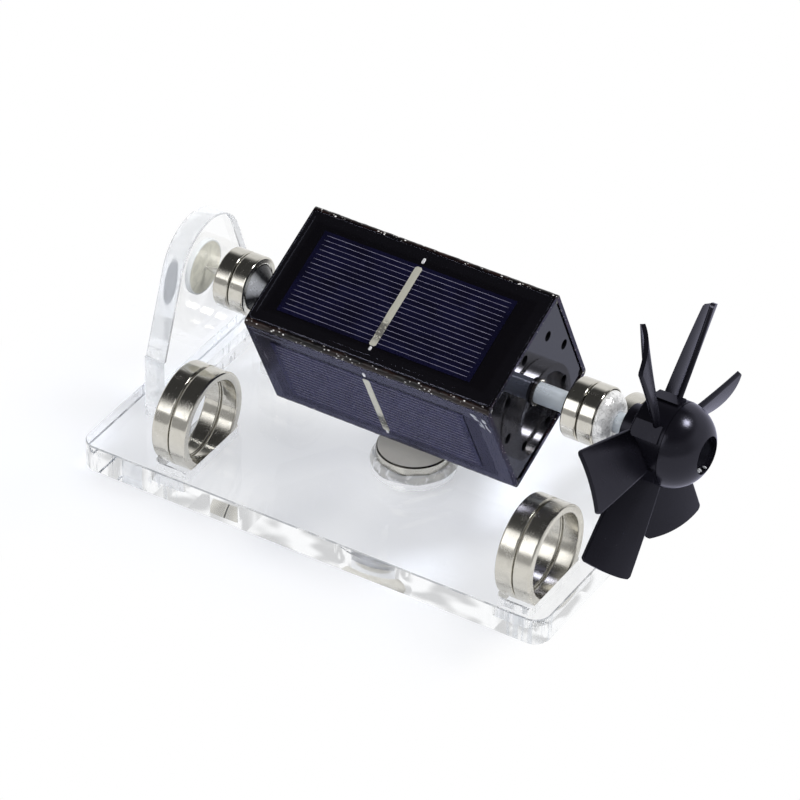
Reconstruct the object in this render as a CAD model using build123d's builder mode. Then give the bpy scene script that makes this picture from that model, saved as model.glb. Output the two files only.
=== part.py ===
from build123d import *
from math import acos, asin, cos, radians, sin, sqrt, tan
import os

# Solar powered demonstration motor with a magnetically levitated rotor. All sizes are millimetres.
# Frame: the origin is the centre of the base plate's underside, +X runs along the shaft
# towards the fan, +Y points to the back and +Z points up. The rotor turns about the shaft line.

# ---- base plate -----------------------------------------------------------------------------
base_length = 140.0
base_width = 82.0
base_thickness = 8.0
base_corner_radius = 4.5
base_edge_chamfer = 0.3

# ---- shaft line -----------------------------------------------------------------------------
shaft_height = 44.0

# ---- ring magnets that stand in the base ----------------------------------------------------
base_ring_diameter = 27.5
base_ring_bore = 22.8
base_ring_width = 5.0
base_ring_seam = 0.25
base_ring_edge = 0.55
base_ring_height = 16.6
base_ring_track = 49.4
left_ring_pair_x = -43.8
right_ring_pair_x = 59.4
slot_side_clearance = 0.15
slot_floor_clearance = 0.05
slot_end_margin = 1.6
slot_corner_radius = 1.5

# ---- disc magnets under the rotor -----------------------------------------------------------
centre_magnet_diameter = 20.0
centre_magnet_thickness = 3.0
centre_magnet_edge = 0.5
centre_pocket_diameter = 22.6
centre_pocket_depth = 4.6

# ---- end wall and its thrust disc -----------------------------------------------------------
wall_face_x = -58.4
wall_thickness = 6.2
wall_offset_y = 4.6
wall_top_radius = 14.5
wall_top_drop = 2.8
wall_taper = 20.0
wall_shoulder_height = 15.2
wall_shoulder_step = 0.5
wall_tenon_depth = 7.5
wall_slot_clearance = 0.1
wall_edge_chamfer = 0.3
thrust_disc_diameter = 15.3
thrust_disc_thickness = 1.3

# ---- shaft ----------------------------------------------------------------------------------
tube_diameter = 5.7
tube_bore = 4.1
fit_clearance = 0.05
pin_diameter = 1.6
pin_cone_length = 2.6
pin_tip_diameter = 0.3
pin_tip_clearance = 0.1
pin_bush_length = 12.0
pin_tail = 4.0

# ---- ring magnets on the shaft --------------------------------------------------------------
shaft_ring_diameter = 16.3
shaft_ring_bore = 12.2
shaft_ring_width = 4.5
shaft_ring_seam = 0.25
shaft_ring_edge = 0.5
left_shaft_pair_x = -45.1
right_shaft_pair_x = 59.1
bush_cone_length = 3.0
bush_dome_length = 3.2
bush_dome_radius = 7.4

# ---- rotor block: four panels round two end plates ------------------------------------------
block_length = 72.2
block_centre_x = 7.3
block_tilt = 24.7
panel_width = 35.4
board_thickness = 1.2
resin_thickness = 0.65
resin_inset = 0.35
resin_edge = 0.3
cell_length = 57.2
cell_width = 25.5
cell_thickness = 0.2
cell_offset_x = -1.1
cell_side_gap = 0.1
busbar_width = 2.0
busbar_thickness = 0.12
busbar_overhang = 1.5
bead_radius = 1.3
end_plate_thickness = 2.0
end_plate_recess = 0.4
end_plate_clearance = 0.1
wire_hole_diameter = 2.8
wire_hole_circle = 30.0
wire_hole_count = 8
collar_wall = 0.7
collar_length = 0.9

# ---- windings inside the block --------------------------------------------------------------
coil_bar = 3.0
coil_shaft_gap = 0.4
former_side = 24.0
former_length = 42.0
lead_diameter = 0.8
lead_spacing = 30.0

# ---- fan ------------------------------------------------------------------------------------
fan_rear_x = 70.5
fan_collar_radius = 6.3
fan_hub_rear_x = 75.0
fan_hub_length = 9.2
fan_hub_radius = 11.3
fan_hub_edge = 0.5
fan_seam = 0.15
fan_pad_width = 4.6
fan_pad_height = 0.4
fan_pad_margin = 0.8
blade_count = 6
blade_angle = 43.0
blade_centre_x = 78.2
blade_tip_radius = 36.4
blade_tip_corner = 3.0
blade_root_chord = 10.7
blade_tip_chord = 16.4
blade_root_pitch = 40.0
blade_tip_pitch = 27.0
blade_root_camber = 0.8
blade_tip_camber = 1.3
blade_root_thickness = 1.6
blade_tip_thickness = 1.2
blade_edge_bulge = 0.35
blade_sections = 4
spinner_radius = 11.3
spinner_crown = 10.2
spinner_seat = 0.95
spinner_nose_hole = 10.2
spinner_socket_depth = 6.0
nose_glue_radius = 4.6
nose_glue_height = 1.2
nose_glue_edge = 0.9

# ---- worked out from the sizes above --------------------------------------------------------
shaft_line = Axis((0, 0, shaft_height), (1, 0, 0))
block_left_x = block_centre_x - block_length / 2
block_right_x = block_centre_x + block_length / 2
panel_inner = panel_width / 2
tube_radius = tube_diameter / 2
slot_floor = base_ring_height - base_ring_diameter / 2 - slot_floor_clearance
base_pair_width = 2 * base_ring_width + base_ring_seam
shaft_pair_width = 2 * shaft_ring_width + shaft_ring_seam
thrust_face_x = wall_face_x + thrust_disc_thickness
spinner_rear_x = fan_hub_rear_x + fan_hub_length + fan_seam
spinner_centre_x = spinner_rear_x - spinner_seat
spinner_nose_turn = asin(spinner_nose_hole / 2 / spinner_radius)
spinner_nose_x = spinner_centre_x + spinner_crown * cos(spinner_nose_turn)
socket_floor_x = spinner_nose_x - spinner_socket_depth
tube_left_x = left_shaft_pair_x - shaft_pair_width / 2
tube_right_x = socket_floor_x
ring_places = {
    "front_left": (left_ring_pair_x, -base_ring_track / 2),
    "front_right": (right_ring_pair_x, -base_ring_track / 2),
    "rear_left": (left_ring_pair_x, base_ring_track / 2),
    "rear_right": (right_ring_pair_x, base_ring_track / 2),
}
panel_names = ("top", "front", "bottom", "rear")


def cross_plane(x, y=0.0, z=shaft_height):
    """Plane square to the shaft at x: its X is the row's +Y, its Y is +Z."""
    return Plane(origin=(x, y, z), x_dir=(0, 1, 0), z_dir=(1, 0, 0))


def side_plane(side, distance, x=block_centre_x):
    """Plane of one block side, at a distance from the shaft line, facing outwards."""
    lean = radians(block_tilt + 90 * side)
    origin = (x, -distance * sin(lean), shaft_height + distance * cos(lean))
    return Plane(origin=origin, x_dir=(1, 0, 0), z_dir=(0, -sin(lean), cos(lean)))


def shaft_section():
    """Half-plane through the shaft line for revolved pieces: X along the shaft, Y outwards."""
    return Plane(origin=(0, 0, shaft_height), x_dir=(1, 0, 0), z_dir=(0, -1, 0))


def finish(piece, name):
    piece.part.label = name
    export_step(piece.part, f"parts/{name}.step")


def make_base_plate():
    slot_reach = sqrt((base_ring_diameter / 2) ** 2 - (base_ring_height - base_thickness) ** 2)
    slot_width = base_pair_width + 2 * slot_side_clearance
    slot_length = 2 * (slot_reach + slot_end_margin)
    with BuildPart() as base_plate:
        with BuildSketch(Plane.XY):
            RectangleRounded(base_length, base_width, base_corner_radius)
        extrude(amount=base_thickness)
        chamfer(base_plate.faces().sort_by(Axis.Z)[-1].edges(), base_edge_chamfer)
        chamfer(base_plate.faces().sort_by(Axis.Z)[0].edges(), base_edge_chamfer)
        with BuildSketch(Plane.XY.offset(base_thickness)):
            with Locations(*ring_places.values()):
                RectangleRounded(slot_width, slot_length, slot_corner_radius)
        extrude(amount=slot_floor - base_thickness, mode=Mode.SUBTRACT)
        with BuildSketch(Plane.XY.offset(base_thickness)):
            with Locations((block_centre_x, 0)):
                Circle(centre_pocket_diameter / 2)
        extrude(amount=-centre_pocket_depth, mode=Mode.SUBTRACT)
        with BuildSketch(Plane.XY):
            with Locations((wall_face_x - wall_thickness / 2, wall_offset_y)):
                Rectangle(wall_thickness + 2 * wall_slot_clearance, wall_foot_width() + 2 * wall_slot_clearance)
        extrude(amount=base_thickness, mode=Mode.SUBTRACT)
    return base_plate


def wall_taper_reach():
    """Half width and height of the wall where its tapered sides end, above the shoulder."""
    lean = radians(wall_taper)
    centre = shaft_height - wall_top_drop
    tangent = (wall_top_radius * cos(lean), centre + wall_top_radius * sin(lean))
    shoulder = base_thickness + wall_shoulder_height
    return tangent, tangent[0] + (tangent[1] - shoulder) * tan(lean), shoulder


def wall_foot_width():
    return 2 * (wall_taper_reach()[1] + wall_shoulder_step)


def make_end_wall():
    tangent, reach, shoulder = wall_taper_reach()
    foot = wall_foot_width() / 2
    tenon = base_thickness - wall_tenon_depth
    crown = shaft_height - wall_top_drop + wall_top_radius
    with BuildPart() as end_wall:
        with BuildSketch(cross_plane(wall_face_x - wall_thickness, wall_offset_y, 0)):
            with BuildLine():
                ThreePointArc((-tangent[0], tangent[1]), (0, crown), tangent)
                Polyline(
                    tangent,
                    (reach, shoulder),
                    (foot, shoulder),
                    (foot, tenon),
                    (-foot, tenon),
                    (-foot, shoulder),
                    (-reach, shoulder),
                    (-tangent[0], tangent[1]),
                )
            make_face()
        extrude(amount=wall_thickness)
        upper = end_wall.edges().filter_by(GeomType.CIRCLE)
        chamfer(upper, wall_edge_chamfer)
    return end_wall


def make_thrust_disc():
    with BuildPart() as thrust_disc:
        with BuildSketch(cross_plane(wall_face_x)):
            Circle(thrust_disc_diameter / 2)
        extrude(amount=thrust_disc_thickness)
        chamfer(thrust_disc.faces().sort_by(Axis.X)[-1].edges(), thrust_disc_thickness / 8)
    return thrust_disc


def make_ring(left_x, y, z, diameter, bore, width, edge):
    """Ring magnet with its axis along the shaft and rounded edges."""
    with BuildPart() as ring:
        with BuildSketch(cross_plane(left_x, y, z)):
            Circle(diameter / 2)
            Circle(bore / 2, mode=Mode.SUBTRACT)
        extrude(amount=width)
        fillet(ring.edges().filter_by(GeomType.CIRCLE), edge)
    return ring


def make_centre_magnet(level):
    with BuildPart() as magnet:
        bottom = base_thickness - centre_pocket_depth + level * centre_magnet_thickness
        with BuildSketch(Plane.XY.offset(bottom)):
            with Locations((block_centre_x, 0)):
                Circle(centre_magnet_diameter / 2)
        extrude(amount=centre_magnet_thickness)
        fillet(magnet.edges().filter_by(GeomType.CIRCLE), centre_magnet_edge)
    return magnet


def make_shaft_tube():
    with BuildPart() as shaft_tube:
        with BuildSketch(cross_plane(tube_left_x)):
            Circle(tube_radius)
            Circle(tube_bore / 2, mode=Mode.SUBTRACT)
        extrude(amount=tube_right_x - tube_left_x)
    return shaft_tube


def make_pivot_pin():
    tip_x = thrust_face_x + pin_tip_clearance
    tail_x = tube_left_x + pin_bush_length + pin_tail
    with BuildPart() as pivot_pin:
        with BuildSketch(shaft_section()):
            Polygon(
                (tip_x, 0),
                (tip_x, pin_tip_diameter / 2),
                (tip_x + pin_cone_length, pin_diameter / 2),
                (tail_x, pin_diameter / 2),
                (tail_x, 0),
                align=None,
            )
        revolve(axis=shaft_line)
    return pivot_pin


def make_pin_bush():
    with BuildPart() as pin_bush:
        with BuildSketch(cross_plane(tube_left_x)):
            Circle(tube_bore / 2 - fit_clearance)
            Circle(pin_diameter / 2 + fit_clearance, mode=Mode.SUBTRACT)
        extrude(amount=pin_bush_length)
    return pin_bush


def make_bush(pair_x, nose_radius, nose_length, domed):
    """Filler between the tube and a magnet pair, with a cone or a dome towards the fan."""
    left = pair_x - shaft_pair_width / 2
    right = pair_x + shaft_pair_width / 2
    inner = tube_radius + fit_clearance
    outer = shaft_ring_bore / 2 - fit_clearance
    belly = (right + nose_length * 0.6, inner + (nose_radius - inner) * 0.8)
    with BuildPart() as bush:
        with BuildSketch(shaft_section()):
            with BuildLine():
                Polyline((right + nose_length, inner), (left, inner), (left, outer), (right, outer))
                if domed:
                    Line((right, outer), (right, nose_radius))
                    ThreePointArc((right, nose_radius), belly, (right + nose_length, inner))
                else:
                    Line((right, outer), (right + nose_length, inner))
            make_face()
        revolve(axis=shaft_line)
    return bush


def make_end_plate(x):
    side = panel_width - 2 * end_plate_clearance
    turn = Rot(0, 0, block_tilt)
    with BuildPart() as end_plate:
        with BuildSketch(cross_plane(x) * turn):
            Rectangle(side, side)
            Circle(tube_radius + fit_clearance, mode=Mode.SUBTRACT)
            with PolarLocations(wire_hole_circle / 2, wire_hole_count):
                Circle(wire_hole_diameter / 2, mode=Mode.SUBTRACT)
        extrude(amount=end_plate_thickness)
    return end_plate


def make_plate_collar(x):
    """Thin ring of glue where the tube leaves an end plate."""
    with BuildPart() as collar:
        with BuildSketch(cross_plane(x)):
            Circle(tube_radius + fit_clearance + collar_wall)
            Circle(tube_radius + fit_clearance, mode=Mode.SUBTRACT)
        extrude(amount=collar_length)
        fillet(collar.edges().filter_by(GeomType.CIRCLE), collar_wall / 4)
    return collar


def make_board(side):
    with BuildPart() as board:
        with BuildSketch(side_plane(side, panel_inner)):
            Rectangle(block_length, panel_width)
        extrude(amount=board_thickness)
    return board


def make_cell(side):
    with BuildPart() as cell:
        with BuildSketch(side_plane(side, panel_inner + board_thickness)):
            with Locations((cell_offset_x, 0)):
                Rectangle(cell_length, cell_width)
        extrude(amount=cell_thickness)
    return cell


def make_busbar(side):
    with BuildPart() as busbar:
        with BuildSketch(side_plane(side, panel_inner + board_thickness + cell_thickness)):
            with Locations((cell_offset_x, 0)):
                Rectangle(busbar_width, cell_width + 2 * busbar_overhang)
        extrude(amount=busbar_thickness)
    return busbar


def make_resin(side):
    pocket_length = cell_length + 2 * cell_side_gap
    pocket_width = cell_width + 2 * cell_side_gap
    strip_length = cell_width + 2 * (busbar_overhang + cell_side_gap)
    strip_depth = cell_thickness + busbar_thickness
    outer = side_plane(side, panel_inner + board_thickness)
    with BuildPart() as resin:
        with BuildSketch(outer):
            Rectangle(block_length - 2 * resin_inset, panel_width - 2 * resin_inset)
        extrude(amount=resin_thickness)
        top = resin.faces().sort_by_distance((block_centre_x, *far_point(side)))[0]
        chamfer(top.edges(), resin_edge)
        with BuildSketch(outer):
            with Locations((cell_offset_x, 0)):
                Rectangle(pocket_length, pocket_width)
        extrude(amount=cell_thickness, mode=Mode.SUBTRACT)
        with BuildSketch(outer):
            with Locations((cell_offset_x, 0)):
                Rectangle(busbar_width + 2 * cell_side_gap, strip_length)
        extrude(amount=strip_depth, mode=Mode.SUBTRACT)
    return resin


def far_point(side):
    """Y and Z of a point well outside one side of the block."""
    lean = radians(block_tilt + 90 * side)
    return (-block_length * sin(lean), shaft_height + block_length * cos(lean))


def make_edge_beads():
    """Quarter-round resin beads along the four long corners, where two boards meet."""
    with BuildPart() as beads:
        for side in range(4):
            lean = radians(block_tilt + 90 * side)
            corner = (
                -panel_inner * sin(lean) - panel_inner * cos(lean),
                panel_inner * cos(lean) - panel_inner * sin(lean),
            )
            plane = cross_plane(block_left_x, corner[0], shaft_height + corner[1])
            with BuildSketch(plane * Rot(0, 0, block_tilt + 90 * side)):
                with BuildLine():
                    Polyline((0, bead_radius), (0, 0), (-bead_radius, 0))
                    RadiusArc((-bead_radius, 0), (0, bead_radius), bead_radius)
                make_face()
            extrude(amount=block_length)
    return beads


def make_coil(side, length):
    """One winding of two loops that pass the tube on both sides, square to side's normal."""
    inner = former_side
    loop_start = tube_radius + coil_shaft_gap
    with BuildPart() as coil:
        for start in (loop_start, -loop_start - coil_bar):
            with BuildSketch(side_plane(side, start)):
                Rectangle(length + 2 * coil_bar, inner + 2 * coil_bar)
                Rectangle(length, inner, mode=Mode.SUBTRACT)
            extrude(amount=coil_bar)
    return coil


def make_coil_former():
    with BuildPart() as former:
        with BuildSketch(cross_plane(block_centre_x - former_length / 2) * Rot(0, 0, block_tilt)):
            Rectangle(former_side, former_side)
            Circle(tube_radius + fit_clearance, mode=Mode.SUBTRACT)
        extrude(amount=former_length)
    return former


def make_panel_leads():
    """Two short leads from each board to the winding bar under it."""
    coil_face = former_side / 2 + coil_bar
    bar_centre = tube_radius + coil_shaft_gap + coil_bar / 2
    with BuildPart() as leads:
        for side in range(4):
            with BuildSketch(side_plane(side, coil_face)):
                with Locations((-lead_spacing / 2, bar_centre), (lead_spacing / 2, bar_centre)):
                    Circle(lead_diameter / 2)
            extrude(amount=panel_inner - coil_face)
    return leads


def blade_section(share):
    """Plane, chord, camber and thickness of the upright blade at a share of its length."""
    inner = fan_hub_radius - blade_root_thickness
    outer = blade_tip_radius + blade_tip_thickness
    radius = inner + share * (outer - inner)
    growth = (radius - fan_hub_radius) / (blade_tip_radius - fan_hub_radius)
    pitch = radians(blade_root_pitch + growth * (blade_tip_pitch - blade_root_pitch))
    chord = blade_root_chord + growth * (blade_tip_chord - blade_root_chord)
    camber = blade_root_camber + growth * (blade_tip_camber - blade_root_camber)
    thickness = blade_root_thickness + growth * (blade_tip_thickness - blade_root_thickness)
    plane = Plane(
        origin=(blade_centre_x, 0, shaft_height + radius),
        x_dir=(sin(pitch), -cos(pitch), 0),
        z_dir=(0, 0, 1),
    )
    return plane, chord / 2, camber, thickness / 2


def make_blade():
    """One blade standing straight up, cut round at its tip and at the tip's corners."""
    lean = radians(blade_tip_pitch)
    tip_plane = Plane(
        origin=(blade_centre_x, 0, shaft_height),
        x_dir=(sin(lean), -cos(lean), 0),
        z_dir=(cos(lean), sin(lean), 0),
    )
    tip_width = blade_tip_chord + 2 * blade_edge_bulge * blade_tip_thickness
    with BuildPart() as blade:
        for step in range(blade_sections):
            plane, half, camber, thick = blade_section(step / (blade_sections - 1))
            bulge = blade_edge_bulge * 2 * thick
            with BuildSketch(plane):
                with BuildLine():
                    ThreePointArc((-half, thick), (0, thick + camber), (half, thick))
                    ThreePointArc((half, thick), (half + bulge, 0), (half, -thick))
                    ThreePointArc((half, -thick), (0, camber - thick), (-half, -thick))
                    ThreePointArc((-half, -thick), (-half - bulge, 0), (-half, thick))
                make_face()
        loft()
        with BuildSketch(cross_plane(fan_rear_x)):
            Circle(blade_tip_radius)
        extrude(amount=2 * fan_hub_length + fan_hub_rear_x - fan_rear_x, mode=Mode.INTERSECT)
        with BuildSketch(tip_plane):
            RectangleRounded(tip_width, 2 * blade_tip_radius, blade_tip_corner)
        extrude(amount=blade_tip_radius, both=True, mode=Mode.INTERSECT)
    return blade


def make_fan_rotor():
    """Hub, rear collar and six twisted blades in one moulding."""
    blade = make_blade()
    with BuildPart() as fan_rotor:
        with BuildSketch(cross_plane(fan_rear_x)):
            Circle(fan_collar_radius)
        extrude(amount=fan_hub_rear_x - fan_rear_x)
        with BuildSketch(cross_plane(fan_hub_rear_x)):
            Circle(fan_hub_radius)
        extrude(amount=fan_hub_length)
        rear_rim = fan_rotor.edges().filter_by(GeomType.CIRCLE).sort_by(SortBy.RADIUS)[-2:]
        fillet(rear_rim.sort_by(Axis.X)[0], fan_hub_edge)
        with BuildSketch(cross_plane(fan_hub_rear_x + fan_pad_margin)):
            with PolarLocations(fan_hub_radius, blade_count, start_angle=60 - blade_angle):
                Rectangle(2 * fan_pad_height, fan_pad_width)
        extrude(amount=fan_hub_length - 2 * fan_pad_margin)
        for turn in range(blade_count):
            add(blade.part.rotate(shaft_line, 360 * turn / blade_count - blade_angle))
        with BuildSketch(cross_plane(fan_rear_x)):
            Circle(tube_radius + fit_clearance)
        extrude(amount=spinner_rear_x - fan_rear_x, mode=Mode.SUBTRACT)
        with BuildSketch(cross_plane(fan_hub_rear_x + fan_hub_length)):
            Circle(spinner_radius + fan_seam)
        extrude(amount=spinner_radius, mode=Mode.SUBTRACT)
    return fan_rotor


def make_spinner():
    hole = spinner_nose_hole / 2
    bore = tube_radius + fit_clearance
    floor_x = socket_floor_x
    start_turn = acos(spinner_seat / spinner_crown)
    middle_turn = (start_turn + spinner_nose_turn) / 2
    brim = spinner_radius * sin(start_turn)
    crown_x = spinner_centre_x + spinner_crown * cos(middle_turn)
    shoulder = (crown_x, spinner_radius * sin(middle_turn))
    with BuildPart() as spinner:
        with BuildSketch(shaft_section()):
            with BuildLine():
                ThreePointArc((spinner_rear_x, brim), shoulder, (spinner_nose_x, hole))
                Polyline(
                    (spinner_nose_x, hole),
                    (floor_x, hole),
                    (floor_x, bore),
                    (spinner_rear_x, bore),
                    (spinner_rear_x, brim),
                )
            make_face()
        revolve(axis=shaft_line)
    return spinner


def make_nose_glue():
    """Drop of glue that closes the tube's end in the spinner's socket."""
    with BuildPart() as glue:
        with BuildSketch(cross_plane(socket_floor_x)):
            Circle(nose_glue_radius)
        extrude(amount=nose_glue_height)
        fillet(glue.faces().sort_by(Axis.X)[-1].edges(), nose_glue_edge)
    return glue


os.makedirs("parts", exist_ok=True)

finish(make_base_plate(), "base_plate")
finish(make_end_wall(), "end_wall")
finish(make_thrust_disc(), "thrust_disc")
for level in range(3):
    finish(make_centre_magnet(level), f"centre_magnet_{level + 1}")
for place, (pair_x, ring_y) in ring_places.items():
    for order in range(2):
        ring_x = pair_x - base_pair_width / 2 + order * (base_ring_width + base_ring_seam)
        base_ring = make_ring(
            ring_x,
            ring_y,
            base_ring_height,
            base_ring_diameter,
            base_ring_bore,
            base_ring_width,
            base_ring_edge,
        )
        finish(base_ring, f"{place}_ring_{order + 1}")

finish(make_shaft_tube(), "shaft_tube")
finish(make_pivot_pin(), "pivot_pin")
finish(make_pin_bush(), "pin_bush")
for place, pair_x in (("left", left_shaft_pair_x), ("right", right_shaft_pair_x)):
    for order in range(2):
        ring_x = pair_x - shaft_pair_width / 2 + order * (shaft_ring_width + shaft_ring_seam)
        shaft_ring = make_ring(
            ring_x,
            0,
            shaft_height,
            shaft_ring_diameter,
            shaft_ring_bore,
            shaft_ring_width,
            shaft_ring_edge,
        )
        finish(shaft_ring, f"{place}_shaft_ring_{order + 1}")
finish(make_bush(left_shaft_pair_x, shaft_ring_bore / 2, bush_cone_length, False), "left_bush")
finish(make_bush(right_shaft_pair_x, bush_dome_radius, bush_dome_length, True), "right_bush")

left_plate_x = block_left_x + end_plate_recess
right_plate_x = block_right_x - end_plate_recess - end_plate_thickness
finish(make_end_plate(left_plate_x), "left_end_plate")
finish(make_end_plate(right_plate_x), "right_end_plate")
finish(make_plate_collar(left_plate_x - collar_length), "left_plate_collar")
finish(make_plate_collar(right_plate_x + end_plate_thickness), "right_plate_collar")
for side, name in enumerate(panel_names):
    finish(make_board(side), f"{name}_panel_board")
    finish(make_cell(side), f"{name}_panel_cell")
    finish(make_busbar(side), f"{name}_panel_busbar")
    finish(make_resin(side), f"{name}_panel_resin")
finish(make_edge_beads(), "edge_beads")
finish(make_coil_former(), "coil_former")
finish(make_coil(0, former_length + 2 * coil_bar), "outer_coil")
finish(make_coil(1, former_length), "inner_coil")
finish(make_panel_leads(), "panel_leads")
finish(make_fan_rotor(), "fan_rotor")
finish(make_spinner(), "spinner")
finish(make_nose_glue(), "nose_glue")
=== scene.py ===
import math

import bmesh
import bpy
from bpy.props import FloatProperty, FloatVectorProperty, IntProperty, PointerProperty
from mathutils import Matrix, Vector, noise


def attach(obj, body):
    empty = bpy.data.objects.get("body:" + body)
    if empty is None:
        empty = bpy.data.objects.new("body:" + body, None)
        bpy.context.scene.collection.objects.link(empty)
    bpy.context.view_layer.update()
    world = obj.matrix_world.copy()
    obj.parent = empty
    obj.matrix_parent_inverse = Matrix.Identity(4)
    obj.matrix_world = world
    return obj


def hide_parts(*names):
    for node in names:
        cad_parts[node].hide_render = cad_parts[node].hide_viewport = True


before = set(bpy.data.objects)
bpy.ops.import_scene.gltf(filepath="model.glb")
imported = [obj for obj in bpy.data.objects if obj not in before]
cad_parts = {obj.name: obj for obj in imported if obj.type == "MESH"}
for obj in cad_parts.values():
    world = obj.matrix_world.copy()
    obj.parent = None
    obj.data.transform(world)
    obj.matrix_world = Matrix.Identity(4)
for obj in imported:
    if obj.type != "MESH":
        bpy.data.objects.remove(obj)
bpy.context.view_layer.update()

bl_info = {
    "name": "Solar demonstration motor",
    "version": (1, 0, 0),
    "blender": (4, 5, 0),
    "location": "3D View > Sidebar > Solar Motor",
    "description": "Finishes, solar cells, resin, glue and studio for the packed motor frame",
    "category": "Object",
}

MM = 0.001

# The shared frame's own sizes, in metres.
SHAFT_HEIGHT = 44 * MM
PANEL_NAMES = ("top", "front", "bottom", "rear")
PANEL_LEAN = math.radians(24.7)
PANEL_INNER = 17.7 * MM
PANEL_WIDTH = 35.4 * MM
BOARD_THICKNESS = 1.2 * MM
BLOCK_LENGTH = 72.2 * MM
BLOCK_CENTRE = 7.3 * MM
CELL_LENGTH = 57.2 * MM
CELL_WIDTH = 25.5 * MM
CELL_OFFSET = -1.1 * MM
CELL_TOP = 0.2 * MM  # over the board
END_WALL_FACE = -58.4 * MM
THRUST_DISC_RADIUS = 7.65 * MM
BASE_THICKNESS = 8 * MM
BASE_HALF_LENGTH = 70 * MM
BASE_HALF_WIDTH = 41 * MM
DISC_MAGNET_RADIUS = 10 * MM

# Where the camera looks, and colours that two finishes share.
CAMERA_TARGET = Vector((2.735, 0, 24.93)) * MM
# Grey for painted shade, painted outlines and a painted reflection on the clear acrylic.
PAINTED_SHADE_GREY = (0.36, 0.375, 0.40)
PANEL_SHEEN = (0.64, 0.64, 1.0)


# ---- Shader graphs ----


class Wire:
    """A shader socket that sums are written on; each sum adds its Math node."""

    def __init__(self, graph, socket):
        self.graph, self.socket = graph, socket

    def sum(self, operation, *terms):
        terms = terms or (self,)
        return self.graph.node("Math", {"operation": operation}, dict(enumerate(terms)))

    def __add__(self, other):
        return self.sum("ADD", self, other)

    def __radd__(self, other):
        return self.sum("ADD", other, self)

    def __sub__(self, other):
        return self.sum("SUBTRACT", self, other)

    def __rsub__(self, other):
        return self.sum("SUBTRACT", other, self)

    def __mul__(self, other):
        return self.sum("MULTIPLY", self, other)

    def __rmul__(self, other):
        return self.sum("MULTIPLY", other, self)

    def __truediv__(self, other):
        return self.sum("DIVIDE", self, other)

    def __pow__(self, other):
        return self.sum("POWER", self, other)

    def __neg__(self):
        return self.sum("MULTIPLY", self, -1.0)

    def __abs__(self):
        return self.sum("ABSOLUTE", self)

    def larger(self, other):
        return self.sum("MAXIMUM", self, other)

    def smaller(self, other):
        return self.sum("MINIMUM", self, other)

    def rise(self, low, high):
        """0 below low and 1 above high, with a soft step between; high may be the smaller."""
        return self.graph.node(
            "MapRange",
            {"interpolation_type": "SMOOTHSTEP"},
            {"Value": self, "From Min": low, "From Max": high},
        )

    def band(self, low, high, edge):
        """1 between low and high, and 0 outside."""
        return self.rise(low - edge, low + edge) * self.rise(high + edge, high - edge)


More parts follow.
